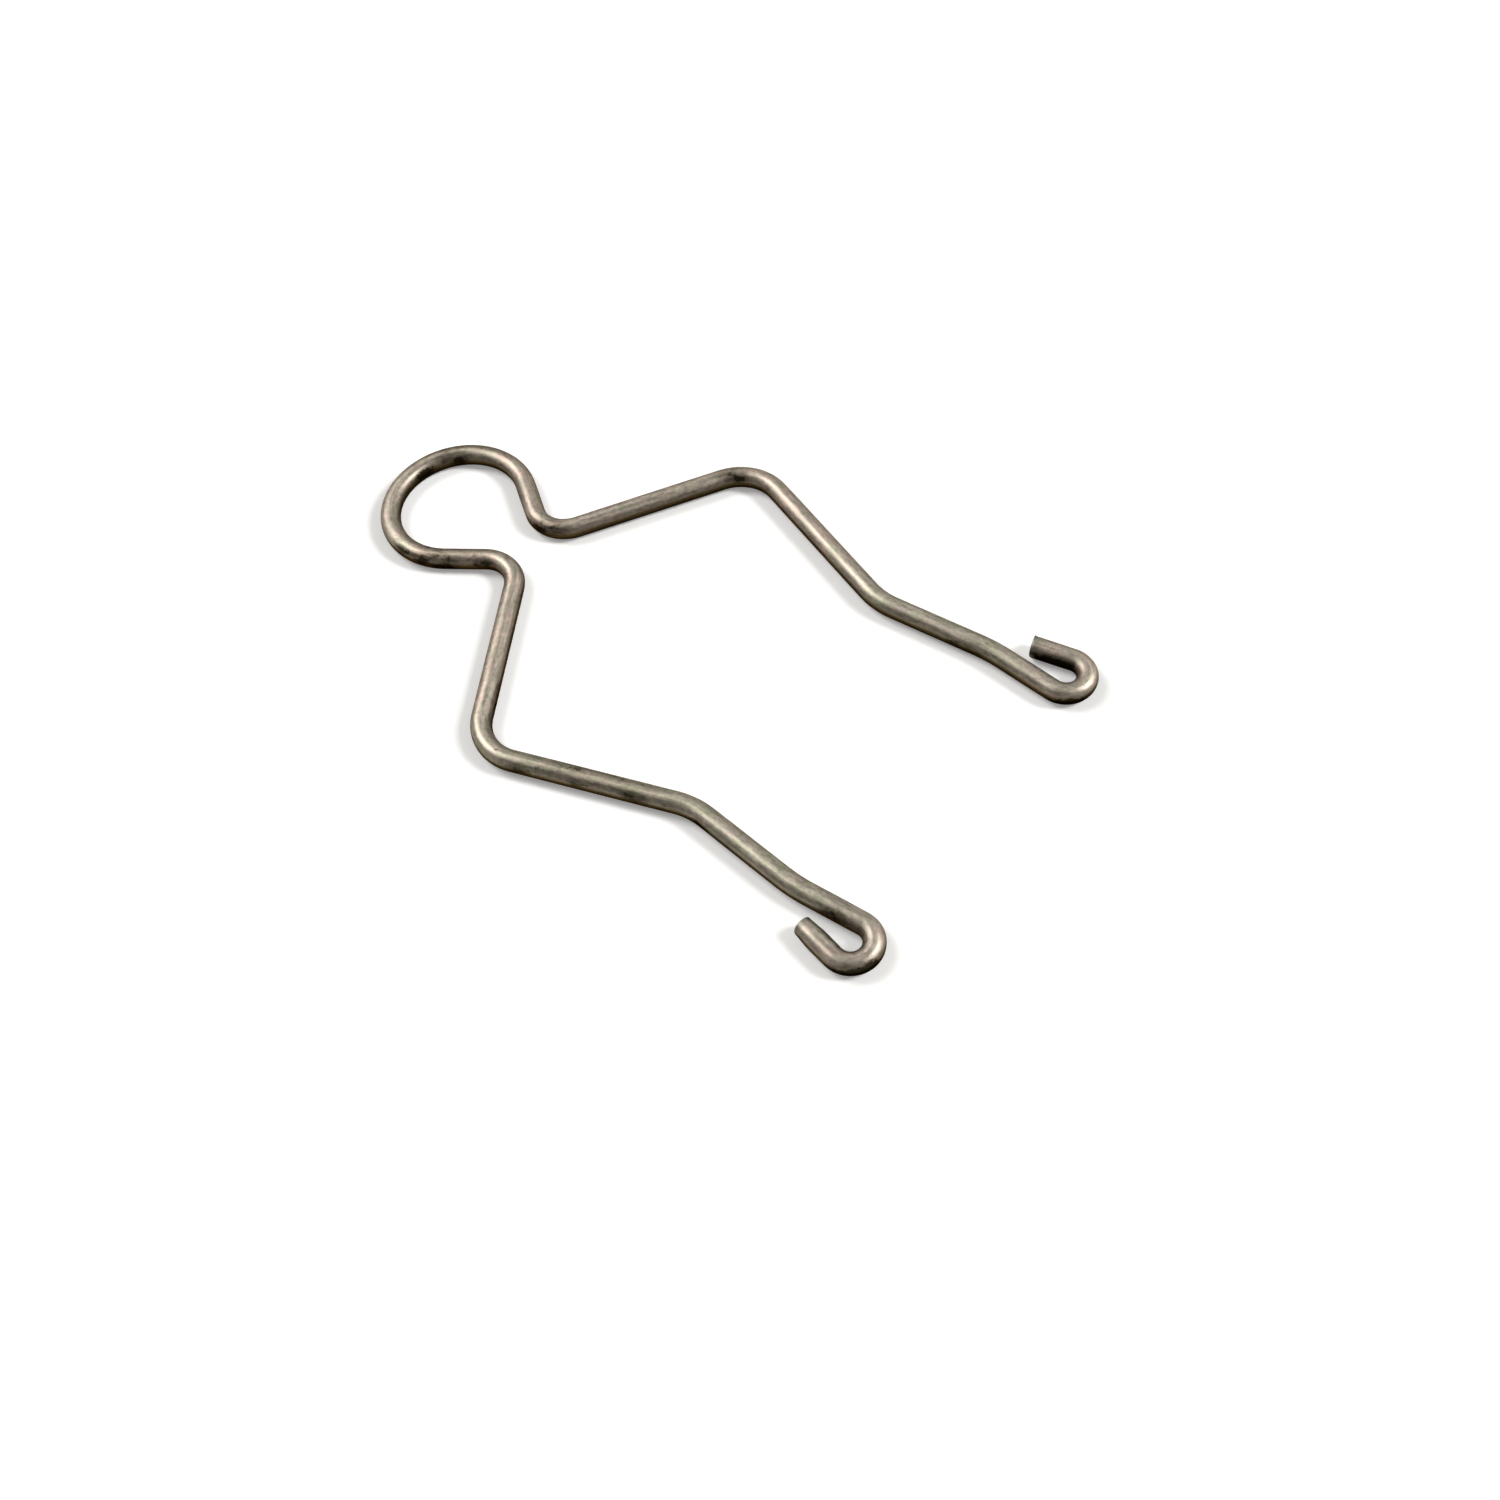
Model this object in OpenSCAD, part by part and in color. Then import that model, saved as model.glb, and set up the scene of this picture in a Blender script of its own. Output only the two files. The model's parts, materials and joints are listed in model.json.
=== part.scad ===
// Retaining clip, bent from one length of round spring wire and lying flat.
// The open loop at the back snaps round a post, and the hook at the end of each arm catches a lug.
// The origin is on the axis of the loop, on the surface that the clip lies on. +X runs from the loop
// to the hooks, +Y is the left arm as seen from the loop, and +Z is up. Sizes are in millimetres.

/* [Wire] */
// Diameter of the round wire
wire_d = 2; // [1.6:0.1:2.4]
// Bevel round each sheared end
end_bevel = 0.2; // [0.1:0.05:0.6]

/* [Loop] */
// Inside radius of the loop, which seats on the post
loop_r = 5.9; // [5:0.1:8]
// Clear gap between the two necks, through which the post snaps in
mouth_gap = 4; // [3:0.1:6]
// Straight between the loop and the neck bend
neck_straight = 4.1; // [2:0.1:6]
// Inside radius of the neck bend
neck_r = 2.4; // [1.5:0.1:4]

/* [Shoulder] */
// Angle to the centre line at which a shoulder spreads from the neck
shoulder_angle = 57.8; // [45:0.1:70]
// Straight between the neck bend and the elbow
shoulder_straight = 14.9; // [10:0.1:20]
// Inside radius of the elbow
elbow_r = 3.7; // [2:0.1:6]

/* [Arm] */
// Angle to the centre line at which an arm closes in after the elbow
taper_angle = 19.2; // [10:0.1:25]
// Straight between the elbow and the kink
arm_straight = 15.5; // [10:0.1:20]
// Inside radius of the kink
kink_r = 6.6; // [3:0.1:10]

/* [Tip] */
// Angle to the centre line at which the tip opens out after the kink
flare_angle = 5.2; // [2:0.1:12]
// Straight between the kink and the easy bend
tip_straight = 8.6; // [5:0.1:12]
// Inside radius of the easy bend before the hook
easy_r = 15.4; // [8:0.1:25]
// Angle to the centre line at which the wire runs in after the easy bend
lead_angle = 4.8; // [0:0.1:10]
// Straight between the easy bend and the hook
lead_straight = 5.2; // [4:0.1:9]

/* [Hook] */
// Inside radius of the hook
hook_r = 0.9; // [0.6:0.1:1.6]
// Straight tail between the hook and the sheared end
tail_straight = 3.8; // [2.5:0.1:5]
// Clear gap between the end of the tail and the wire beside it
hook_gap = 0.7; // [0.3:0.1:1.5]

/* [Hidden] */

// Facets round the wire, and round a full turn of a bend
$fn = 64;

// A straight and a bend meet in a smooth line, where two solids have no edge to fuse along. So each
// stops a little short of the joint, inside a ball that is a two-hundredth larger than the wire.
ball_to_wire = 1.005;
short_to_wire = 0.05;

wire_r = wire_d / 2;
ball_r = wire_r * ball_to_wire;
stop_short = wire_r * short_to_wire;
loop_line_r = loop_r + wire_r;
neck_line_r = neck_r + wire_r;

// The line from the centre of the loop to the centre of a neck bend is the long side of a right
// triangle. Its legs are the sum of the two line radii, and the neck straight. The neck bend comes
// nearest to the centre line at half the mouth gap plus half a wire, which gives the line's slope.
neck_triangle = [loop_line_r + neck_line_r, neck_straight];
neck_centre_y = mouth_gap / 2 + wire_r + neck_line_r;
neck_line_slope = asin(neck_centre_y / norm(neck_triangle));

// Half of the opening angle of the loop, and the angle at which the necks run in from its ends
loop_opening = neck_line_slope + atan2(neck_triangle.y, neck_triangle.x);
neck_angle = 90 - loop_opening;

// How far a hook turns past parallel, so that the inside of its tail ends at the hook gap
hook_triangle = [hook_r, tail_straight];
hook_overturn = acos((hook_gap - hook_r) / norm(hook_triangle))
    - atan2(hook_triangle.y, hook_triangle.x);

// The bends of the left arm from the loop to the hook, as a wire former lists them: straight before
// the bend, inside radius of the bend, and its turn in degrees, which is positive to the left
ARM_BENDS = [
    [neck_straight, neck_r, neck_angle + shoulder_angle],
    [shoulder_straight, elbow_r, -shoulder_angle - taper_angle],
    [arm_straight, kink_r, taper_angle + flare_angle],
    [tip_straight, easy_r, -flare_angle - lead_angle],
    [lead_straight, hook_r, 180 + hook_overturn]
];

// A pose is the place and heading of the wire's centre line, as [x, y, angle from +X].
LOOP_END = [loop_line_r * cos(loop_opening), loop_line_r * sin(loop_opening), -neck_angle];

// The pose after a straight
function past_straight(pose, length) =
    [pose.x + length * cos(pose.z), pose.y + length * sin(pose.z), pose.z];

// The pose after a bend, whose centre is beside the wire, on the side that it turns to
function past_bend(pose, line_r, turn) =
    let (to_left = sign(turn) * line_r, heading = pose.z + turn)
    [
        pose.x + to_left * (sin(heading) - sin(pose.z)),
        pose.y - to_left * (cos(heading) - cos(pose.z)),
        heading
    ];

// The poses before each row of a bend table, and the one after its last row
function poses(bends, pose, row = 0) =
    row == len(bends)
        ? [pose]
        : concat([pose], poses(bends, past_row(pose, bends[row]), row + 1));

function past_row(pose, bend) =
    past_bend(past_straight(pose, bend[0]), bend[1] + wire_r, bend[2]);

// Puts its children, which are drawn along +X, at a pose
module at(pose) {
    translate([pose.x, pose.y, 0])
        rotate(pose.z)
            children();
}

// Turns its children, which are drawn up the Z axis, to lie along +X from x
module along_wire(x = 0) {
    translate([x, 0, 0])
        rotate([0, 90, 0])
            children();
}

// The ball that a straight and a bend run into where they meet
module joint() {
    along_wire()
        sphere(r = ball_r);
}

// An arc of wire round the origin, from one angle to another, stopping short at both ends
module wire_arc(line_r, from, to) {
    short_angle = stop_short / line_r * 180 / PI;
    rotate(from + short_angle)
        rotate_extrude(angle = to - from - 2 * short_angle)
            translate([line_r, 0])
                circle(r = wire_r);
}

// A straight from the joint at the origin to the joint at its end
module wire_straight(length) {
    joint();
    along_wire(stop_short)
        cylinder(r = wire_r, h = length - 2 * stop_short);
}

// A bend from the joint at the origin, to the left or to the right as the sign of its turn says
module wire_bend(line_r, turn) {
    joint();
    mirror([0, turn < 0 ? 1 : 0, 0])
        translate([0, line_r, 0])
            wire_arc(line_r, -90, abs(turn) - 90);
}

// The tail from the joint at the origin to its sheared and bevelled end
module wire_tail(length) {
    joint();
    along_wire(stop_short)
        cylinder(r = wire_r, h = length - stop_short - end_bevel);
    along_wire(length - end_bevel)
        cylinder(r1 = wire_r, r2 = wire_r - end_bevel, h = end_bevel);
}

// The left arm, row by row of its bend table, from the end of the loop to the sheared end
module arm() {
    starts = poses(ARM_BENDS, LOOP_END);
    for (row = [0 : len(ARM_BENDS) - 1]) {
        length = ARM_BENDS[row][0];
        line_r = ARM_BENDS[row][1] + wire_r;
        turn = ARM_BENDS[row][2];
        at(starts[row]) {
            wire_straight(length);
            translate([length, 0, 0])
                wire_bend(line_r, turn);
        }
    }
    at(starts[len(ARM_BENDS)])
        wire_tail(tail_straight);
}

// The whole clip: the loop, with its mouth towards +X, and the two arms
module clip_wire() {
    color("#a09483")
        translate([0, 0, wire_r]) {
            wire_arc(loop_line_r, loop_opening, 360 - loop_opening);
            arm();
            mirror([0, 1, 0])
                arm();
        }
}

clip_wire();
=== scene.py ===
"""A spring wire retaining clip, dressed for a product picture and laid on a pale studio floor."""

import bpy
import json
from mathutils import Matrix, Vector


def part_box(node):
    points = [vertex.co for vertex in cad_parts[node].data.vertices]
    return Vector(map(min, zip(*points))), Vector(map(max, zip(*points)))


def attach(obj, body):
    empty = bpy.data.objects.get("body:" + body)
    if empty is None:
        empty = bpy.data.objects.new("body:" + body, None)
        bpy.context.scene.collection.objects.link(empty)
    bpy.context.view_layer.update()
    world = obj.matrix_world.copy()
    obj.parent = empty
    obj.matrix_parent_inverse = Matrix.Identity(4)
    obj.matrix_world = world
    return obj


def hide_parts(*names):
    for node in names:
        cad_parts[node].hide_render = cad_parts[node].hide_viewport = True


bl_info = {
    "name": "Retaining clip",
    "version": (1, 0, 0),
    "blender": (4, 5, 0),
    "location": "View3D > Sidebar > Retaining clip",
    "description": "Bends a retaining clip from drawn steel wire and sets up a pale studio round it",
    "category": "Add Mesh",
}

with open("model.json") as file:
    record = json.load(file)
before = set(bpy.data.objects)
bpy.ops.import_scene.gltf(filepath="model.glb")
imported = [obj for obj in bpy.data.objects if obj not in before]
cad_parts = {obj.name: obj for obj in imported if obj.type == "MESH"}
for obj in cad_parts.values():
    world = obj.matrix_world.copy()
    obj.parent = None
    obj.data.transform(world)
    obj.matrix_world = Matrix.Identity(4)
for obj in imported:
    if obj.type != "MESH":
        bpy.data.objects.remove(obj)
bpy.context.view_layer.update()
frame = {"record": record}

import json

import bpy
import numpy as np
from bpy.props import FloatProperty, FloatVectorProperty, IntProperty, PointerProperty
from mathutils import Matrix, Vector

NODE = "clip_wire"
BODY = "root"

MM = 0.001
MOUNTS = {mount["name"]: mount for mount in frame["record"]["mounts"]}
WIRE_LOW, WIRE_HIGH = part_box(NODE)
CLIP_MIDDLE = (WIRE_LOW + WIRE_HIGH) / 2

# The mesh's own attributes, which the materials read: the place on the wire in mm as it was
# before it was bent, the stretch of its skin in a bend, the distance to the nearer end in mm, how
# much dark stain and painted shade the marks give it, and the tint of its film of oil
STRAIGHT_MM = "straight_mm"
STRETCH = "stretch"
END_MM = "end_mm"
MARK_AND_SHADE = "mark_and_shade"
TINT = "tint"

# The dark marks, three of them broad and faint. Those with a density of 0.55 or less, and the
# two densest, along the sides of the tails, are painted shade; the rest are stains that the tools
# left. Each gives the distance along the left half from the back of the loop in mm, which is below
# zero on the right half, the angle round the wire in degrees, from its left side by its top, half
# the length and half the width of the mark in mm, and how dense it is
MARKS_AND_PAINTED_SHADE = (
    (88.6, 0.0, 3.6, 1.0, 2.2),
    (82.4, 178.0, 2.6, 0.7, 1.0),
    (72.0, 170.0, 2.6, 0.6, 0.8),
    (41.2, 142.0, 1.5, 0.6, 1.0),
    (40.4, 110.0, 3.0, 1.5, 0.4),
    (22.0, 130.0, 2.8, 1.5, 0.5),
    (20.8, 158.0, 2.0, 0.6, 0.8),
    (5.6, 164.0, 1.6, 0.8, 1.1),
    (5.4, 65.0, 12.0, 1.2, 0.36),
    (4.8, 120.0, 3.0, 1.6, 0.4),
    (1.2, 168.0, 2.0, 0.8, 1.3),
    (-11.0, 30.0, 1.8, 0.7, 1.1),
    (-12.8, 24.0, 1.6, 0.8, 1.2),
    (-14.6, 70.0, 3.4, 2.0, 0.55),
    (-14.6, 2.0, 2.4, 0.8, 1.0),
    (-15.4, 122.0, 8.0, 1.8, 0.42),
    (-19.4, 22.0, 2.2, 0.7, 0.9),
    (-38.4, 162.0, 4.0, 0.6, 0.8),
    (-46.6, 24.0, 1.8, 0.8, 0.6),
    (-52.0, 34.0, 1.2, 0.7, 0.6),
    (-53.0, 100.0, 14.0, 2.2, 0.24),
    (-57.6, 36.0, 2.0, 0.8, 0.75),
    (-64.4, 12.0, 2.0, 0.6, 0.6),
    (-78.8, 36.0, 1.6, 0.9, 0.7),
    (-85.4, 174.0, 2.6, 1.1, 1.5),
)

# Stretches where the film of oil is tinted: the distance to the middle of each, which is measured
# in the same way, half its length in mm, and its tint, from -1 for olive to 1 for tan
TINTS = (
    (67.0, 14.0, -0.6),
    (50.0, 12.0, 0.5),
    (18.0, 12.0, 0.4),
    (-28.0, 18.0, 0.3),
    (-61.0, 26.0, -0.6),
    (-84.0, 10.0, 0.2),
)

# Rings of the mesh on the rounded edge of an end and on its face
EDGE_RINGS = 8
FACE_RINGS = 9

# How far the broken part of a sheared face lies behind the shone part, and how wide the slope
# between them is, as a share of the wire's radius
FACE_STEP = 0.05 * MM
SLOPE_WIDTH = 0.4

# The share of the roll-over that an end lacks on its burr's side, and where the burr's lip begins,
# as the cosine of the angle round the wire from the middle of the burr
LACK_AT_BURR = 0.75
LIP_BEGINS = 0.3

# The soft boxes: azimuth and elevation in degrees, as seen from the middle of the clip, the side of
# the square in m and the power in W
SOFT_BOXES = {
    "soft_box_left": (190.0, 50.0, 0.34, 3.0),
    "soft_box_right": (35.0, 41.0, 0.2, 3.2),
}

# Distances of the soft boxes and of the dark card from the middle of the clip in m, and azimuths of
# the points that the dark card and the dark ceiling have round it
LAMP_DISTANCE = 0.7
CARD_DISTANCE = 0.5
AZIMUTHS = np.linspace(0.0, 2 * np.pi, 96, endpoint=False)


def linear(hex_colour):
    """The linear RGB of an sRGB hex colour: each channel's power curve, with its straight foot."""
    srgb = np.array([int(hex_colour[i : i + 2], 16) for i in (1, 3, 5)]) / 255
    return tuple(np.where(srgb <= 0.04045, srgb / 12.92, ((srgb + 0.055) / 1.055) ** 2.4))


def smooth(x):
    """Rises from 0 to 1 as x does, level at both ends."""
    x = np.clip(x, 0.0, 1.0)
    return x * x * (3.0 - 2.0 * x)


def wrapped(angle):
    """The same angle as one between -pi and pi."""
    return (angle + np.pi) % (2 * np.pi) - np.pi


class WireSizes(bpy.types.PropertyGroup):
    """Sizes of the bent wire, which are the CAD model's"""

    wire_d: FloatProperty(
        name="Wire diameter",
        description="Diameter of the round wire",
        default=MOUNTS["post_loop"]["dims"]["length_mm"] * MM,  # the loop is one wire thick
        unit="LENGTH",
    )
    loop_r: FloatProperty(
        name="Loop radius",
        description="Inside radius of the loop, which seats on the post",
        default=MOUNTS["post_loop"]["dims"]["r_mm"] * MM,
        unit="LENGTH",
    )
    mouth_gap: FloatProperty(
        name="Mouth gap",
        description="Clear gap between the two necks",
        default=4.0 * MM,
        unit="LENGTH",
    )
    neck_straight: FloatProperty(
        name="Neck straight",
        description="Straight between the loop and the neck bend",
        default=4.1 * MM,
        unit="LENGTH",
    )
    neck_r: FloatProperty(
        name="Neck radius",
        description="Inside radius of the neck bend",
        default=2.4 * MM,
        unit="LENGTH",
    )
    shoulder_angle: FloatProperty(
        name="Shoulder angle",
        description="Angle to the centre line at which a shoulder spreads from the neck",
        default=np.radians(57.8),
        unit="ROTATION",
    )
    shoulder_straight: FloatProperty(
        name="Shoulder straight",
        description="Straight between the neck bend and the elbow",
        default=14.9 * MM,
        unit="LENGTH",
    )
    elbow_r: FloatProperty(
        name="Elbow radius",
        description="Inside radius of the elbow",
        default=3.7 * MM,
        unit="LENGTH",
    )
    taper_angle: FloatProperty(
        name="Taper angle",
        description="Angle to the centre line at which an arm closes in after the elbow",
        default=np.radians(19.2),
        unit="ROTATION",
    )
    arm_straight: FloatProperty(
        name="Arm straight",
        description="Straight between the elbow and the kink",
        default=15.5 * MM,
        unit="LENGTH",
    )
    kink_r: FloatProperty(
        name="Kink radius",
        description="Inside radius of the kink",
        default=6.6 * MM,
        unit="LENGTH",
    )
    flare_angle: FloatProperty(
        name="Flare angle",
        description="Angle to the centre line at which the tip opens out after the kink",
        default=np.radians(5.2),
        unit="ROTATION",
    )
    tip_straight: FloatProperty(
        name="Tip straight",
        description="Straight between the kink and the easy bend",
        default=8.6 * MM,
        unit="LENGTH",
    )
    easy_r: FloatProperty(
        name="Easy bend radius",
        description="Inside radius of the easy bend before the hook",
        default=15.4 * MM,
        unit="LENGTH",
    )
    lead_angle: FloatProperty(
        name="Lead angle",
        description="Angle to the centre line at which the wire runs in after the easy bend",
        default=np.radians(4.8),
        unit="ROTATION",
    )
    lead_straight: FloatProperty(
        name="Lead straight",
        description="Straight between the easy bend and the hook",
        default=5.2 * MM,
        unit="LENGTH",
    )
    hook_r: FloatProperty(
        name="Hook radius",
        description="Inside radius of the hook",
        default=MOUNTS["left_hook"]["dims"]["r_mm"] * MM,
        unit="LENGTH",
    )
    tail_straight: FloatProperty(
        name="Tail straight",
        description="Straight tail between the hook and the sheared end",
        default=3.8 * MM,
        unit="LENGTH",
    )
    hook_gap: FloatProperty(
        name="Hook gap",
        description="Clear gap between the end of the tail and the wire beside it",
        default=0.7 * MM,
        unit="LENGTH",
    )


class WireFinish(bpy.types.PropertyGroup):
    """What drawing, bending and shearing leave on the wire, with painted shade under it and at some dark
    marks
    """

    sides: IntProperty(
        name="Sides",
        description="Facets round the wire",
        default=64,
        min=16,
    )
    ring_step: FloatProperty(
        name="Ring step",
        description="Longest distance between two rings of the mesh",
        default=0.35 * MM,
        unit="LENGTH",
    )
    ring_turn: FloatProperty(
        name="Ring turn",
        description="Largest turn between two rings of the mesh",
        default=np.radians(3.0),
        unit="ROTATION",
    )
    flattening: FloatProperty(
        name="Flattening",
        description="How much narrower a bend makes the wire, as a share of its skin's stretch",
        default=0.06,
        min=0.0,
        max=0.2,
    )
    roll_over: FloatProperty(
        name="Roll-over",
        description="Radius to which the shear's blade rolls the edge of a cut end",
        default=0.25 * MM,
        unit="LENGTH",
    )
    pinch: FloatProperty(
        name="Pinch",
        description="How much smaller the shear's pinch makes the right end's radius",
        default=0.12 * MM,
        unit="LENGTH",
    )
    left_burr: FloatProperty(
        name="Left burr",
        description="How far the burr stands out at the edge of the left end",
        default=0.1 * MM,
        unit="LENGTH",
    )
    left_burr_angle: FloatProperty(
        name="Left burr angle",
        description="Angle round the wire of the left end's burr, from its left side by its top",
        default=np.radians(155.0),
        unit="ROTATION",
    )
    right_burr: FloatProperty(
        name="Right burr",
        description="How far the burr stands out at the edge of the right end",
        default=0.025 * MM,
        unit="LENGTH",
    )
    right_burr_angle: FloatProperty(
        name="Right burr angle",
        description="Angle round the wire of the right end's burr, from its left side by its top",
        default=np.radians(60.0),
        unit="ROTATION",
    )
    steel: FloatVectorProperty(
        name="Steel",
        description="Colour of the clean drawn steel",
        default=linear("#9C9386"),
        subtype="COLOR",
        min=0.0,
        max=1.0,
    )
    tan: FloatVectorProperty(
        name="Tan",
        description="Colour of the patches that a film of oil has tinted pinkish tan",
        default=linear("#A29085"),
        subtype="COLOR",
        min=0.0,
        max=1.0,
    )
    olive: FloatVectorProperty(
        name="Olive",
        description="Colour of the patches where the film looks olive",
        default=linear("#918E7B"),
        subtype="COLOR",
        min=0.0,
        max=1.0,
    )
    # This near black also paints the bands along the two tails' sides, which are painted shade
    stain_and_shade: FloatVectorProperty(
        name="Stain",
        description="Colour of the small dark stains",
        default=linear("#302B1F"),
        subtype="COLOR",
        min=0.0,
        max=1.0,
    )
    edge: FloatVectorProperty(
        name="Edge",
        description="Share of a clean metal's shine that is left where the wire is seen edge-on",
        default=linear("#B0A89C"),
        subtype="COLOR",
        min=0.0,
        max=1.0,
    )
    # This brown paints the shade under the wire and at the broad faint marks; round the stains it is
    # their own brown fringe
    film: FloatVectorProperty(
        name="Film",
        description="Brown of the film under the wire and round the marks, which multiplies the steel's",
        default=linear("#72664C"),
        subtype="COLOR",
        min=0.0,
        max=1.0,
    )
    cut: FloatVectorProperty(
        name="Cut",
        description="Colour of the grey steel at a sheared end",
        default=linear("#6E7066"),
        subtype="COLOR",
        min=0.0,
        max=1.0,
    )


class StageSettings(bpy.types.PropertyGroup):
    """The camera, the floor and the lights"""

    aim: FloatVectorProperty(
        name="Aim",
        description="Point at the middle of the picture",
        default=(41.98 * MM, -6.15 * MM, 1.0 * MM),
        subtype="TRANSLATION",
        unit="LENGTH",
    )
    camera_yaw: FloatProperty(
        name="Camera yaw",
        description="Heading in which the camera looks, from +X",
        default=np.radians(136.34),
        unit="ROTATION",
    )
    camera_dip: FloatProperty(
        name="Camera dip",
        description="How steeply the camera looks down",
        default=np.radians(56.36),
        unit="ROTATION",
    )
    camera_roll: FloatProperty(
        name="Camera roll",
        description="How far the camera is turned round its line of sight",
        default=np.radians(-9.54),
        unit="ROTATION",
    )
    camera_distance: FloatProperty(
        name="Camera distance",
        description="Distance from the camera to the point that it aims at",
        default=131.9 * MM,
        unit="LENGTH",
    )
    lens: FloatProperty(
        name="Lens",
        description="Focal length in mm for a sensor 36 mm wide",
        default=36.4,
        min=1.0,
    )
    floor_size: FloatProperty(
        name="Floor size",
        description="Side of the square floor",
        default=0.7,
        unit="LENGTH",
    )
    floor_colour: FloatVectorProperty(
        name="Floor colour",
        description="Colour of the pale floor",
        default=linear("#F6F5F3"),
        subtype="COLOR",
        min=0.0,
        max=1.0,
    )
    floor_lift: FloatProperty(
        name="Floor lift",
        description="How much lighter the floor looks than its paint",
        default=0.25,
        min=0.0,
        max=1.0,
    )
    fill: FloatProperty(
        name="Fill",
        description="Strength of the world's even light",
        default=0.36,
        min=0.0,
    )
    card_colour: FloatVectorProperty(
        name="Card colour",
        description="Colour of the dark card and the dark ceiling, which the camera doesn't see",
        default=linear("#827E7A"),
        subtype="COLOR",
        min=0.0,
        max=1.0,
    )
    card_middle: FloatProperty(
        name="Card middle",
        description="Azimuth of the middle of the card's high part",
        default=np.radians(294.0),
        unit="ROTATION",
    )
    card_spread: FloatProperty(
        name="Card spread",
        description="Angle to each side of its middle at which the card is low again",
        default=np.radians(78.0),
        unit="ROTATION",
    )
    card_low: FloatProperty(
        name="Card low",
        description="Height of the card behind the clip",
        default=0.12,
        unit="LENGTH",
    )
    card_high: FloatProperty(
        name="Card high",
        description="Height of the card on the camera's side",
        default=1.0,
        unit="LENGTH",
    )
    ceiling_r: FloatProperty(
        name="Ceiling radius",
        description="Radius of the dark ceiling, a disc over the clip",
        default=0.4,
        unit="LENGTH",
    )
    ceiling_height: FloatProperty(
        name="Ceiling height",
        description="Height of the dark ceiling over the floor",
        default=0.95,
        unit="LENGTH",
    )


def bend_list(sizes):
    """The left half of the wire as rows of length of the wire's line and turn to the left.

    The rows run from the back of the loop to the sheared end. The loop's half opening is the
    slope of the line from its centre to the centre of the neck bend, which the mouth gap sets,
    plus the angle between that line and the loop's end. The hook turns past parallel until the
    inside of its tail ends at the hook gap.
    """
    wire_r = sizes.wire_d / 2
    centres = sizes.loop_r + sizes.neck_r + sizes.wire_d
    neck_centre_y = sizes.mouth_gap / 2 + sizes.wire_d + sizes.neck_r
    slope = np.arcsin(neck_centre_y / np.hypot(centres, sizes.neck_straight))
    opening = slope + np.arctan2(sizes.neck_straight, centres)
    neck_angle = np.pi / 2 - opening
    tail = np.hypot(sizes.hook_r, sizes.tail_straight)
    overturn = np.arccos((sizes.hook_gap - sizes.hook_r) / tail)
    overturn -= np.arctan2(sizes.tail_straight, sizes.hook_r)

    straight, radius, turn = np.array(
        [
            [0.0, sizes.loop_r, opening - np.pi],
            [sizes.neck_straight, sizes.neck_r, neck_angle + sizes.shoulder_angle],
            [sizes.shoulder_straight, sizes.elbow_r, -sizes.shoulder_angle - sizes.taper_angle],
            [sizes.arm_straight, sizes.kink_r, sizes.taper_angle + sizes.flare_angle],
            [sizes.tip_straight, sizes.easy_r, -sizes.flare_angle - sizes.lead_angle],
            [sizes.lead_straight, sizes.hook_r, np.pi + overturn],
            [sizes.tail_straight, 0.0, 0.0],
        ]
    ).T
    bend = (radius + wire_r) * np.abs(turn)
    rows = np.stack([straight, np.zeros_like(turn), bend, turn], axis=1).reshape(-1, 2)
    return rows[rows[:, 0] > 0]


def chords(lengths, turns, headings):
    """How far the wire's line moves along stretches that turn evenly.

    A stretch of length t that turns by a from heading h moves by the chord
    t * sin(a / 2) / (a / 2) at heading h + a / 2, which holds for a straight too.
    """
    span = lengths * np.sinc(turns / (2 * np.pi))
    middle = headings + turns / 2
    return np.stack([span * np.cos(middle), span * np.sin(middle)], axis=-1)


def wire_line(rows, start, along):
    """Places and headings of the wire's line, at distances from the back of the loop.

    Each row starts where the sum of the chords before it ends. start is the line's place at the
    back of the loop, where it heads along +Y. Distances above zero run along the left half. The
    right half is its mirror image run backwards, so that y changes sign and h becomes pi - h.
    """
    lengths, turns = rows.T
    begins = np.cumsum(lengths) - lengths
    headings = np.pi / 2 + np.cumsum(turns) - turns
    moves = chords(lengths, turns, headings)
    places = start + np.cumsum(moves, axis=0) - moves

    distance = np.abs(along)
    row = np.searchsorted(begins[1:], distance, side="right")
    past = distance - begins[row]
    turned = turns[row] * past / lengths[row]
    place = places[row] + chords(past, turned, headings[row])
    heading = headings[row] + turned
    left = along >= 0
    place[:, 1] *= np.where(left, 1.0, -1.0)
    return place, np.where(left, heading, np.pi - heading)


def ring_places(rows, step, turn):
    """Distances along the left half for the mesh's rings, the ends of every row among them."""
    lengths, turns = rows.T
    spans = np.ceil(np.maximum(lengths / step, np.abs(turns) / turn))
    ends = np.concatenate([[0.0], np.cumsum(lengths)])
    marks = np.concatenate([[0.0], np.cumsum(spans)])
    return np.interp(np.arange(marks[-1] + 1), marks, ends)


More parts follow.
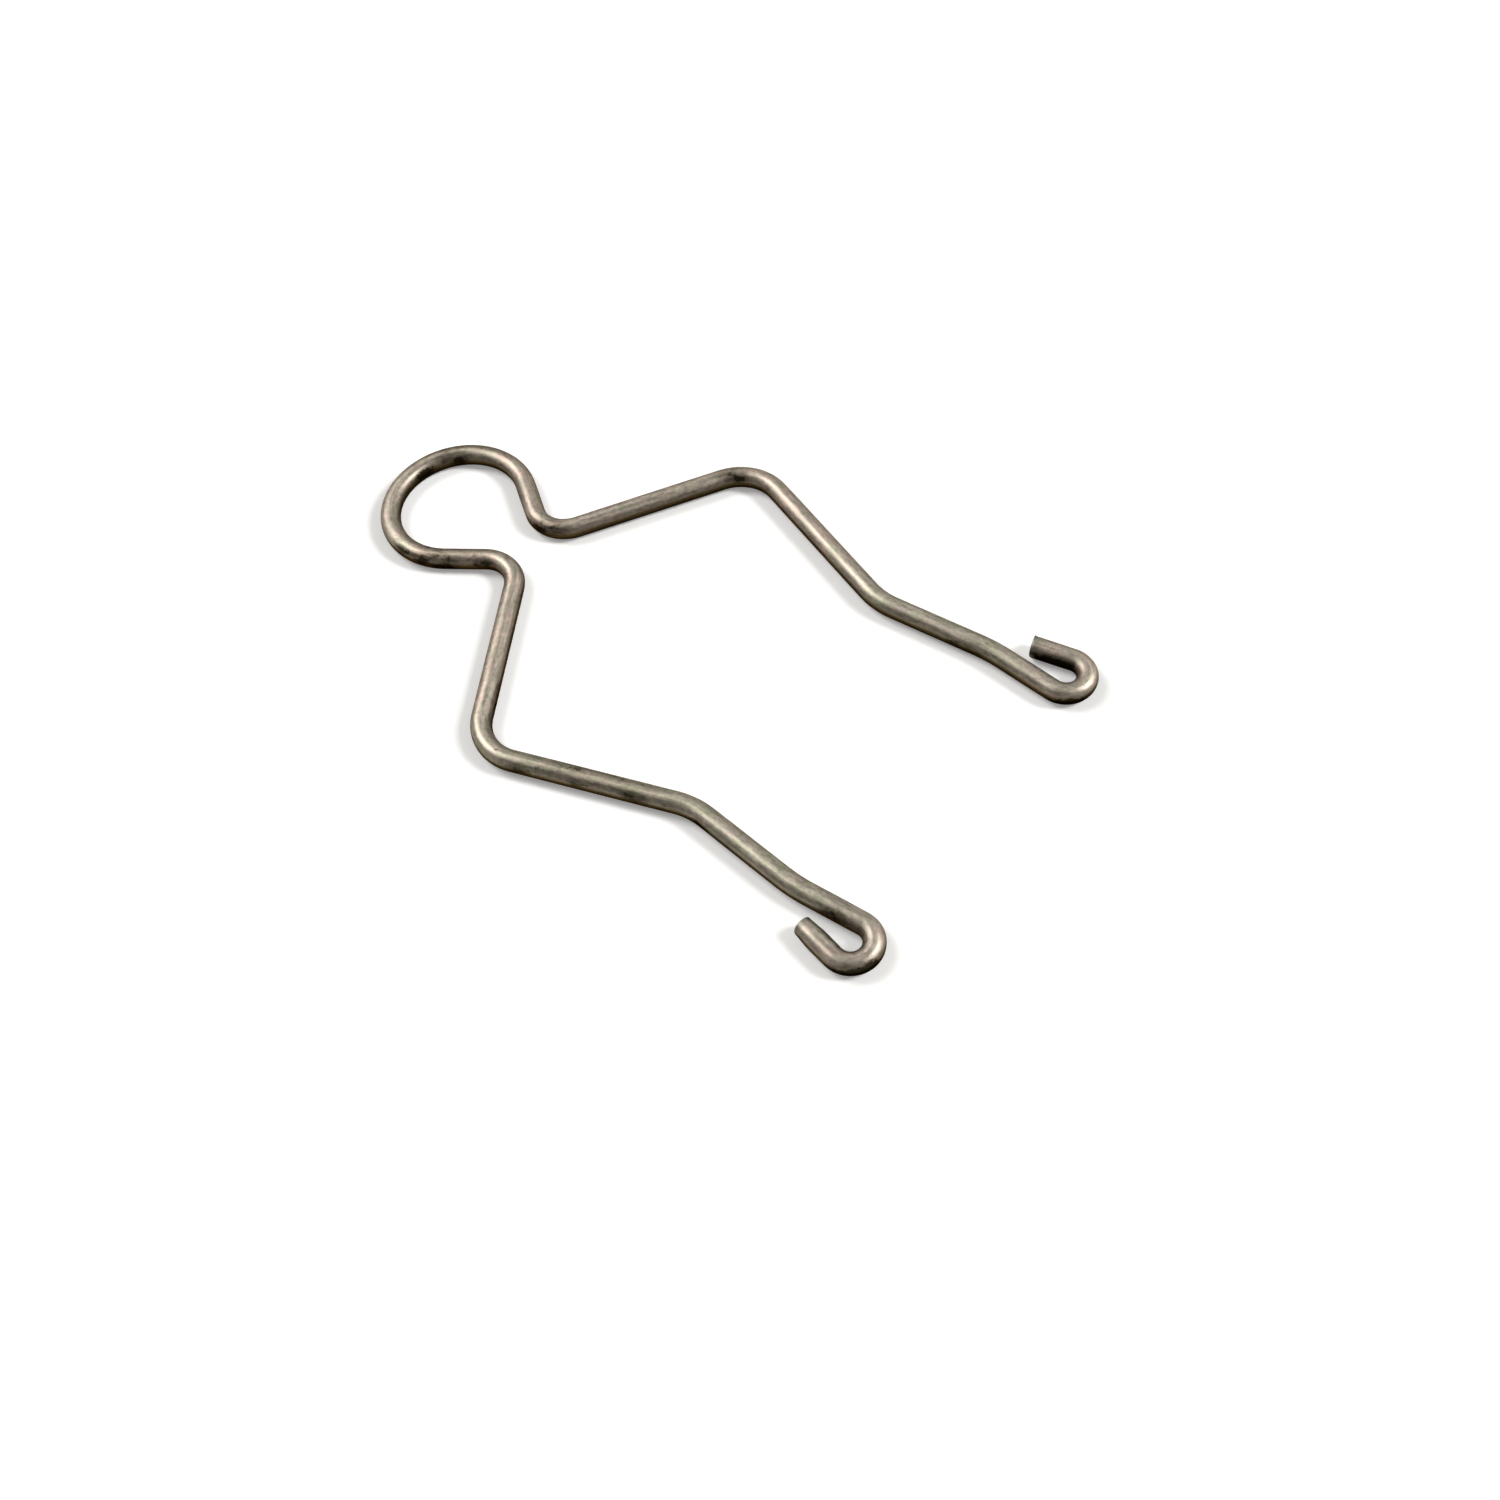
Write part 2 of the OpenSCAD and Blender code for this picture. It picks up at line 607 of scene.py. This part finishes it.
def sheared_end(angle, wire_r, roll_over, burr, burr_angle):
    """The rings that close an end: how far each point stands out along the wire, and its radius.

    A quarter circle takes the wall to the face. It has the roll-over's radius where the blade
    came in, and the least radius where the burr stands, at the burr's angle. The burr is a lip on
    the edge, which stands out from the wall, and half as far from the face. Half way across, the
    face slopes back from the part that the blade shone to the part that broke off.
    """
    lean = np.cos(angle - burr_angle)[None, :]
    roll = roll_over * (1 - LACK_AT_BURR * smooth((lean + 1) / 2))
    edge = np.linspace(0.0, np.pi / 2, EDGE_RINGS + 1)[1:, None]
    lip = burr * smooth((lean - LIP_BEGINS) / (1 - LIP_BEGINS)) * np.sin(edge) ** 2
    edge_out = roll_over - roll * (1 - np.sin(edge)) + lip / 2
    edge_r = wire_r - roll * (1 - np.cos(edge)) + lip

    share = np.linspace(1.0, 0.0, FACE_RINGS + 2)[1:-1, None]
    face_r = edge_r[-1] * share
    broken = smooth(face_r * lean / wire_r / SLOPE_WIDTH + 0.5)
    face_out = roll_over - FACE_STEP * broken
    return np.vstack([edge_out, face_out]), np.vstack([edge_r, face_r])


def marks_and_painted_shade(along, angle, wire_r):
    """How much dark stain and painted shade each point has, with every length in mm.

    A mark is as deep as its density at its middle, and falls smoothly to 0 at an ellipse drawn on
    the wire's skin. Where two marks meet, the deeper one holds.
    """
    middle, side, half_length, half_width, density = np.array(MARKS_AND_PAINTED_SHADE).T
    off = wrapped(angle[:, None] - np.radians(side))
    out = np.hypot((along[..., None] - middle) / half_length, wire_r * off / half_width)
    return (density * smooth(1 - out)).max(axis=-1)


def film_tint(along):
    """The tint of the film at distances along the wire in mm, each stretch fading at both ends."""
    middle, half_length, tint = np.array(TINTS).T
    out = np.abs(along[..., None] - middle) / half_length
    return (tint * smooth(2 - 2 * out)).sum(axis=-1)


def clip_surface(sizes, finish):
    """The wire's surface as rings of points, with what each point needs for its finish.

    A ring at distance s along the wire has its points at
    line(s) + out * heading + r * (narrow * cos(a) * left + sin(a) * up) for a full turn of a.
    On the wall r is the wire's radius, less the pinch near the right end. A bend makes the wire
    narrower by a share of its skin's stretch, which is the radius of the wire over the bend's,
    with the curvature taken as the change of heading over a wire's width each way.
    """
    wire_r = sizes.wire_d / 2
    rows = bend_list(sizes)
    half = ring_places(rows, finish.ring_step, finish.ring_turn)
    length = half[-1]
    angle = np.arange(finish.sides) * 2 * np.pi / finish.sides

    # The wall ends where the roll-over begins, and any ring just before that is left out
    wall = half[half < length - finish.roll_over - finish.ring_step / 2]
    wall = np.append(wall, length - finish.roll_over)

    # Each end's rings stand out from the last ring of the wall
    left_out, left_r = sheared_end(
        angle, wire_r, finish.roll_over, finish.left_burr, finish.left_burr_angle
    )
    right_out, right_r = sheared_end(
        angle, wire_r, finish.roll_over, finish.right_burr, finish.right_burr_angle
    )
    last = np.full(len(left_out), wall[-1])
    line = np.concatenate([-last, -wall[:0:-1], wall, last])
    wall_r = np.full((2 * len(wall) - 1, finish.sides), wire_r)
    out = np.vstack([-right_out[::-1], np.zeros_like(wall_r), left_out])
    r = np.vstack([right_r[::-1], wall_r, left_r])
    along = line[:, None] + out

    to_right_end = length + along
    r = r * (1 - finish.pinch / wire_r * smooth(1 - to_right_end / sizes.wire_d))

    start = np.array([-sizes.loop_r - wire_r, 0.0])
    place, heading = wire_line(rows, start, line)
    ahead = wire_line(rows, start, line + sizes.wire_d)[1]
    behind = wire_line(rows, start, line - sizes.wire_d)[1]
    curvature = ((ahead - behind) / (2 * sizes.wire_d))[:, None]
    narrow = 1 - finish.flattening * np.abs(curvature) * wire_r
    across = narrow * r * np.cos(angle)
    up = r * np.sin(angle)

    cos_h, sin_h = np.cos(heading)[:, None], np.sin(heading)[:, None]
    points = np.stack(
        [
            place[:, :1] + out * cos_h - across * sin_h,
            place[:, 1:] + out * sin_h + across * cos_h,
            wire_r + up,
        ],
        axis=-1,
    )
    straight = np.stack([along, across, up], axis=-1) / MM
    values = {
        STRAIGHT_MM: straight,
        STRETCH: -curvature * across,
        END_MM: np.minimum(length - along, length + along) / MM,
        MARK_AND_SHADE: marks_and_painted_shade(straight[..., 0], angle, wire_r / MM),
        TINT: film_tint(straight[..., 0]),
    }
    return points, values


def ring_faces(rings, sides):
    """Quads between neighbouring rings, then a fan of triangles from each end ring to its middle."""
    ring = np.arange(rings - 1)[:, None] * sides
    side = np.arange(sides)
    beside = (side + 1) % sides
    here, there = ring + side, ring + beside
    quads = np.stack([here, there, there + sides, here + sides], axis=-1).reshape(-1, 4)
    middle = rings * sides
    top = (rings - 1) * sides
    first_fan = np.column_stack([beside, side, np.full(sides, middle)])
    last_fan = np.column_stack([top + side, top + beside, np.full(sides, middle + 1)])
    return quads.tolist() + first_fan.tolist() + last_fan.tolist()


def with_middles(values):
    """Ring values as rows, then the mean of the first ring and of the last, for the fans' middles."""
    ends = values[[0, -1]].mean(axis=1)
    return np.vstack([values.reshape(-1, values.shape[-1]), ends])


def add_node(tree, kind, inputs=None, **settings):
    """A new node with its settings, whose inputs are each set to a value or linked to a socket."""
    made = tree.nodes.new(kind)
    for name, value in settings.items():
        setattr(made, name, value)
    for key, value in (inputs or {}).items():
        if isinstance(value, bpy.types.NodeSocket):
            tree.links.new(value, made.inputs[key])
        else:
            made.inputs[key].default_value = value
    return made


def new_material(name):
    """A node material with nothing in its tree."""
    material = bpy.data.materials.new(name)
    material.use_nodes = True
    material.node_tree.nodes.clear()
    return material


def drawn_steel(finish):
    """Satin drawn steel wire.

    The die leaves fine lines along the wire, which spread its highlights across it. A film of
    drawing soap and oil tints it in pinkish tan and olive patches and leaves small dark stains.
    Low on the wire the colour is painted brown, then near black at the bottom, which is painted
    shade under the wire. Where a tool left a mark there are more stains, with a soft brown fringe
    round them. The broad faint marks and the dense bands along the tails' sides are painted shade.
    In a bend the skin is lighter where it has stretched and darker where it has been crushed.
    """
    material = new_material("satin_drawn_steel_wire")
    tree = material.node_tree
    place = add_node(tree, "ShaderNodeAttribute", attribute_name=STRAIGHT_MM).outputs["Vector"]
    stretch, end, mark_and_shade, tinted = (
        add_node(tree, "ShaderNodeAttribute", attribute_name=name).outputs["Fac"]
        for name in (STRETCH, END_MM, MARK_AND_SHADE, TINT)
    )
    height = add_node(tree, "ShaderNodeSeparateXYZ", {"Vector": place}).outputs["Z"]

    # Each pattern's blobs for each mm along, across and up the wire, its detail and roughness. Die
    # lines and grain are a few hundredths of a mm wide. To show, they are drawn a sixth and a third
    # of a mm wide.
    patterns = {
        "patches": ((0.6, 1.1, 1.1), 5.0, 0.75),
        "streaks": ((0.35, 2.2, 2.2), 4.0, 0.6),
        "lines": ((0.1, 6.0, 6.0), 3.0, 0.6),
        "grain": ((2.3, 3.3, 3.3), 4.0, 0.65),
        "stains": ((0.8, 1.3, 1.3), 6.0, 0.75),
    }
    noise = {}
    for name, (scale, detail, roughness) in patterns.items():
        scaled = add_node(tree, "ShaderNodeMapping", {"Vector": place, "Scale": scale})
        noise[name] = add_node(
            tree,
            "ShaderNodeTexNoise",
            {
                "Vector": scaled.outputs[0],
                "Scale": 1.0,
                "Detail": detail,
                "Roughness": roughness,
            },
        ).outputs["Fac"]

    # The marks shift one pattern, and the tints another, so that both keep ragged edges
    shifted = {}
    for name, value, shift in (("stains", mark_and_shade, 0.28), ("patches", tinted, 0.1)):
        shifted[name] = add_node(
            tree,
            "ShaderNodeMath",
            {0: value, 1: shift, 2: noise[name]},
            operation="MULTIPLY_ADD",
        ).outputs[0]

    # Each ramp's source, the range that it reads and the range that it gives
    ramps = {
        "tan": (shifted["patches"], 0.5, 0.66, 0.0, 1.0),
        "olive": (shifted["patches"], 0.5, 0.36, 0.0, 1.0),
        "streaks": (noise["streaks"], 0.34, 0.66, 0.84, 1.14),
        "lines": (noise["lines"], 0.3, 0.7, 0.87, 1.13),
        "grain": (noise["grain"], 0.34, 0.66, 0.83, 1.17),
        "stretch": (stretch, -0.5, 0.5, 0.75, 1.25),
        # The next two read the dark marks: stains with their brown fringe, and painted shade at the
        # broad faint marks and along the tails' sides
        "stains": (shifted["stains"], 0.6, 0.74, 0.0, 0.95),
        "halo_and_shade": (mark_and_shade, 0.0, 0.32, 0.0, 0.48),
        # The next two are painted shade: they darken the wire towards brown and near black low down,
        # under the wire
        "film": (height, 0.8, 0.1, 0.0, 1.0),
        "underside_shade": (height, -0.3, 0.35, 0.45, 1.0),
        "cut": (end, 0.7, 0.2, 0.0, 0.6),
        "roughness": (noise["grain"], 0.3, 0.7, 0.42, 0.5),
    }
    ramp = {}
    for name, (value, low, high, to_low, to_high) in ramps.items():
        ramp[name] = add_node(
            tree,
            "ShaderNodeMapRange",
            {"Value": value, "From Min": low, "From Max": high, "To Min": to_low, "To Max": to_high},
            interpolation_type="SMOOTHSTEP",
        ).outputs[0]

    # Each layer's share, its blend and its colour or shade, laid over the ones before it
    layers = (
        (ramp["tan"], "MIX", (*finish.tan, 1)),
        (ramp["olive"], "MIX", (*finish.olive, 1)),
        (1.0, "MULTIPLY", ramp["streaks"]),
        (1.0, "MULTIPLY", ramp["lines"]),
        (1.0, "MULTIPLY", ramp["grain"]),
        (1.0, "MULTIPLY", ramp["stretch"]),
        # Painted shade at the broad faint marks, and the brown fringe round the stains
        (ramp["halo_and_shade"], "MULTIPLY", (*finish.film, 1)),
        # Stains, and painted shade along the tails' sides
        (ramp["stains"], "MIX", (*finish.stain_and_shade, 1)),
        # Painted shade under the wire: brown, then near black at the bottom
        (ramp["film"], "MULTIPLY", (*finish.film, 1)),
        (1.0, "MULTIPLY", ramp["underside_shade"]),
        (ramp["cut"], "MIX", (*finish.cut, 1)),
    )
    tint = (*finish.steel, 1)
    for share, blend, colour in layers:
        tint = add_node(
            tree,
            "ShaderNodeMix",
            {0: share, 6: tint, 7: colour},
            data_type="RGBA",
            blend_type=blend,
        ).outputs[2]

    bump = add_node(
        tree,
        "ShaderNodeBump",
        {"Strength": 1.0, "Distance": 0.006 * MM, "Height": noise["lines"]},
    )
    shader = add_node(
        tree,
        "ShaderNodeBsdfPrincipled",
        {
            "Base Color": tint,
            "Metallic": 1.0,
            "Roughness": ramp["roughness"],
            "Specular Tint": (*finish.edge, 1),
            "Normal": bump.outputs[0],
        },
    )
    add_node(tree, "ShaderNodeOutputMaterial", {"Surface": shader.outputs[0]})
    return material


def sheared_steel(finish):
    """Bare sheared steel: bluish grey, with the blade's scores on it and a dull broken part."""
    material = new_material("bare_sheared_steel")
    tree = material.node_tree
    place = add_node(tree, "ShaderNodeAttribute", attribute_name=STRAIGHT_MM).outputs["Vector"]

    # Blobs for each mm along, across and up the wire: scores, then grain. Both are finer than the
    # ninth and the sixth of a mm at which they are drawn to show.
    noise = []
    for scale in ((1.0, 9.0, 1.2), (6.0, 6.0, 6.0)):
        scaled = add_node(tree, "ShaderNodeMapping", {"Vector": place, "Scale": scale})
        noise.append(
            add_node(
                tree,
                "ShaderNodeTexNoise",
                {"Vector": scaled.outputs[0], "Scale": 1.0, "Detail": 4.0},
            ).outputs["Fac"]
        )
    scores, grain = noise
    shade = add_node(
        tree,
        "ShaderNodeMix",
        {0: grain, 6: (*finish.cut, 1), 7: (*finish.steel, 1)},
        data_type="RGBA",
    )
    roughness = add_node(
        tree,
        "ShaderNodeMapRange",
        {"Value": grain, "From Min": 0.3, "From Max": 0.7, "To Min": 0.35, "To Max": 0.55},
    )
    height = add_node(tree, "ShaderNodeMath", {0: scores, 1: grain}, operation="ADD")
    bump = add_node(
        tree,
        "ShaderNodeBump",
        {"Strength": 1.0, "Distance": 0.02 * MM, "Height": height.outputs[0]},
    )
    shader = add_node(
        tree,
        "ShaderNodeBsdfPrincipled",
        {
            "Base Color": shade.outputs[2],
            "Metallic": 1.0,
            "Roughness": roughness.outputs[0],
            "Normal": bump.outputs[0],
        },
    )
    add_node(tree, "ShaderNodeOutputMaterial", {"Surface": shader.outputs[0]})
    return material


def seen(tree, hidden, shown):
    """A strength that is shown to the camera, to reflections and through glass, else hidden."""
    path = add_node(tree, "ShaderNodeLightPath").outputs
    ray = path["Is Camera Ray"]
    for other in (path["Is Glossy Ray"], path["Is Transmission Ray"]):
        ray = add_node(tree, "ShaderNodeMath", {0: ray, 1: other}, operation="MAXIMUM").outputs[0]
    return add_node(
        tree,
        "ShaderNodeMapRange",
        {"Value": ray, "To Min": hidden, "To Max": shown},
    ).outputs[0]


def matt_paint(name, colour, lift):
    """Matt emulsion on board: one even colour with next to no sheen.

    The lift only makes the board look lighter. It lights nothing.
    """
    material = new_material(name)
    tree = material.node_tree
    paint = add_node(tree, "ShaderNodeBsdfDiffuse", {"Color": (*colour, 1), "Roughness": 1.0})
    glow = add_node(tree, "ShaderNodeEmission", {"Strength": seen(tree, 0.0, lift)})
    shader = add_node(tree, "ShaderNodeAddShader", {0: paint.outputs[0], 1: glow.outputs[0]})
    add_node(tree, "ShaderNodeOutputMaterial", {"Surface": shader.outputs[0]})
    return material


def white_surround(fill):
    """A world that lights by the fill's strength, and looks white."""
    world = bpy.data.worlds.new("white_surround")
    world.use_nodes = True
    tree = world.node_tree
    tree.nodes.clear()
    light = add_node(
        tree,
        "ShaderNodeBackground",
        {"Color": (1.0, 1.0, 1.0, 1.0), "Strength": seen(tree, fill, 1.0)},
    )
    add_node(tree, "ShaderNodeOutputWorld", {"Surface": light.outputs[0]})
    return world


def add_mesh(context, name, points, faces, materials):
    """A mesh object at the origin, with its place in its mesh."""
    mesh = bpy.data.meshes.new(name)
    mesh.from_pydata(points, [], faces)
    for material in materials:
        mesh.materials.append(material)
    made = bpy.data.objects.new(name, mesh)
    context.scene.collection.objects.link(made)
    return made


def add_values(mesh, name, values):
    """A point attribute of one number or three."""
    kind, key = ("FLOAT_VECTOR", "vector") if values.shape[-1] == 3 else ("FLOAT", "value")
    attribute = mesh.attributes.new(name, kind, "POINT")
    attribute.data.foreach_set(key, values.astype(np.float32).ravel())


def sight(yaw, dip, roll):
    """The camera's right, up and backward directions, as the columns of its rotation.

    It looks along (cos yaw * cos dip, sin yaw * cos dip, -sin dip), and roll turns the right
    towards the up.
    """
    forward = np.array([np.cos(yaw) * np.cos(dip), np.sin(yaw) * np.cos(dip), -np.sin(dip)])
    level = np.array([np.sin(yaw), -np.cos(yaw), 0.0])
    up = np.cross(level, forward)
    right = np.cos(roll) * level + np.sin(roll) * up
    return np.column_stack([right, np.cross(right, forward), -forward])


def toward(azimuth, elevation):
    """The unit vector at an azimuth from +X and an elevation from level, both in degrees."""
    a, e = np.radians([azimuth, elevation])
    return Vector((np.cos(a) * np.cos(e), np.sin(a) * np.cos(e), np.sin(e)))


def add_soft_box(context, name, azimuth, elevation, side, power):
    """A square soft box that faces the middle of the clip from LAMP_DISTANCE."""
    light = bpy.data.lights.new(name, "AREA")
    light.size = side
    light.energy = power
    lamp = bpy.data.objects.new(name, light)
    ray = toward(azimuth, elevation)
    lamp.location = CLIP_MIDDLE + ray * LAMP_DISTANCE
    lamp.rotation_euler = ray.to_track_quat("Z", "Y").to_euler()
    context.scene.collection.objects.link(lamp)


def round_clip(radius, height):
    """Points round the clip's middle: its own x and y plus radius * (cos, sin) of each azimuth."""
    x = CLIP_MIDDLE.x + radius * np.cos(AZIMUTHS)
    y = CLIP_MIDDLE.y + radius * np.sin(AZIMUTHS)
    return np.column_stack([x, y, np.broadcast_to(height, AZIMUTHS.shape)])


def add_dark_board(context, name, points, faces, colour):
    """A board in dark matt paint, which the wire reflects and the camera doesn't see."""
    paint = matt_paint("dark_matt_paint", colour, lift=0.0)
    board = add_mesh(context, name, points, faces, [paint])
    board.visible_camera = False
    return board


def dark_card(context, stage):
    """A dark card bent round the clip, low behind it and high on the camera's side.

    Its points are at CARD_DISTANCE from the clip's middle, in a foot row and a top row. The top's
    height goes smoothly from card_low to card_high within card_spread of azimuth card_middle.
    """
    off = np.abs(wrapped(AZIMUTHS - stage.card_middle))
    rise = smooth((stage.card_spread - off) / (stage.card_spread / 2))
    height = stage.card_low + (stage.card_high - stage.card_low) * rise
    points = np.vstack([round_clip(CARD_DISTANCE, 0.0), round_clip(CARD_DISTANCE, height)])
    foot = np.arange(len(AZIMUTHS))
    top = foot + len(AZIMUTHS)
    faces = np.column_stack([foot, top, np.roll(top, -1), np.roll(foot, -1)])
    return add_dark_board(context, "dark_card", points, faces.tolist(), stage.card_colour)


def dark_ceiling(context, stage):
    """A dark disc over the clip, which darkens what the top of the wire reflects.

    Its edge is a circle of ceiling_r round the clip's middle, at ceiling_height.
    """
    points = round_clip(stage.ceiling_r, stage.ceiling_height)
    faces = [list(range(len(points)))]
    return add_dark_board(context, "dark_ceiling", points, faces, stage.card_colour)


class OBJECT_OT_retaining_clip_wire(bpy.types.Operator):
    """Bend the clip from one length of drawn wire, with sheared ends"""

    bl_idname = "object.retaining_clip_wire"
    bl_label = "Clip wire"

    def execute(self, context):
        sizes = context.scene.clip_sizes
        finish = context.scene.clip_finish
        points, values = clip_surface(sizes, finish)
        faces = ring_faces(len(points), finish.sides)
        materials = [drawn_steel(finish), sheared_steel(finish)]
        wire = add_mesh(context, "spring_wire", with_middles(points), faces, materials)
        for name, value in values.items():
            add_values(wire.data, name, with_middles(value.reshape(*points.shape[:2], -1)))

        # The quads of the two faces, with a ring of each edge, and the fans are cut steel
        cut = np.zeros(len(faces), int)
        face_quads = (FACE_RINGS + 1) * finish.sides
        cut[:face_quads] = 1
        cut[-face_quads - 2 * finish.sides :] = 1
        wire.data.polygons.foreach_set("material_index", cut)
        wire.data.polygons.foreach_set("use_smooth", np.ones(len(faces), bool))
        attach(wire, BODY)
        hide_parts(NODE)
        return {"FINISHED"}


class SCENE_OT_retaining_clip_stage(bpy.types.Operator):
    """Set up the camera, the pale floor and the soft lights"""

    bl_idname = "scene.retaining_clip_stage"
    bl_label = "Stage"

    def execute(self, context):
        stage = context.scene.clip_stage
        turn = sight(stage.camera_yaw, stage.camera_dip, stage.camera_roll)
        camera = bpy.data.objects.new("camera", bpy.data.cameras.new("camera"))
        camera.data.lens = stage.lens
        camera.data.clip_start = stage.camera_distance / 100
        place = np.array(stage.aim) + turn[:, 2] * stage.camera_distance
        camera.matrix_world = Matrix.Translation(place) @ Matrix(turn.tolist()).to_4x4()
        context.scene.collection.objects.link(camera)
        context.scene.camera = camera

        half = stage.floor_size / 2
        corners = np.array([[-half, -half, 0], [half, -half, 0], [half, half, 0], [-half, half, 0]])
        paint = matt_paint("pale_matt_paint", stage.floor_colour, stage.floor_lift)
        floor = add_mesh(context, "floor", corners, [[0, 1, 2, 3]], [paint])
        dark_card(context, stage)
        dark_ceiling(context, stage)

        for name, settings in SOFT_BOXES.items():
            add_soft_box(context, name, *settings)
        context.scene.world = white_surround(stage.fill)
        context.scene.view_settings.view_transform = "Standard"
        return {"FINISHED"}


class VIEW3D_PT_retaining_clip(bpy.types.Panel):
    """Lists the clip's operators and the sizes and colours that they use"""

    bl_label = "Retaining clip"
    bl_space_type = "VIEW_3D"
    bl_region_type = "UI"
    bl_category = "Retaining clip"

    def draw(self, context):
        layout = self.layout
        for operator in OPERATORS:
            layout.operator(operator.bl_idname)
        for group in (context.scene.clip_sizes, context.scene.clip_finish, context.scene.clip_stage):
            box = layout.box()
            for name in group.__annotations__:
                box.prop(group, name)


OPERATORS = (OBJECT_OT_retaining_clip_wire, SCENE_OT_retaining_clip_stage)
CLASSES = (WireSizes, WireFinish, StageSettings, *OPERATORS, VIEW3D_PT_retaining_clip)


def register():
    for each in CLASSES:
        bpy.utils.register_class(each)
    bpy.types.Scene.clip_sizes = PointerProperty(type=WireSizes)
    bpy.types.Scene.clip_finish = PointerProperty(type=WireFinish)
    bpy.types.Scene.clip_stage = PointerProperty(type=StageSettings)


def unregister():
    del bpy.types.Scene.clip_stage
    del bpy.types.Scene.clip_finish
    del bpy.types.Scene.clip_sizes
    for each in reversed(CLASSES):
        bpy.utils.unregister_class(each)


def main():
    register()
    bpy.ops.object.retaining_clip_wire()
    bpy.ops.scene.retaining_clip_stage()


if __name__ == "__main__":
    main()
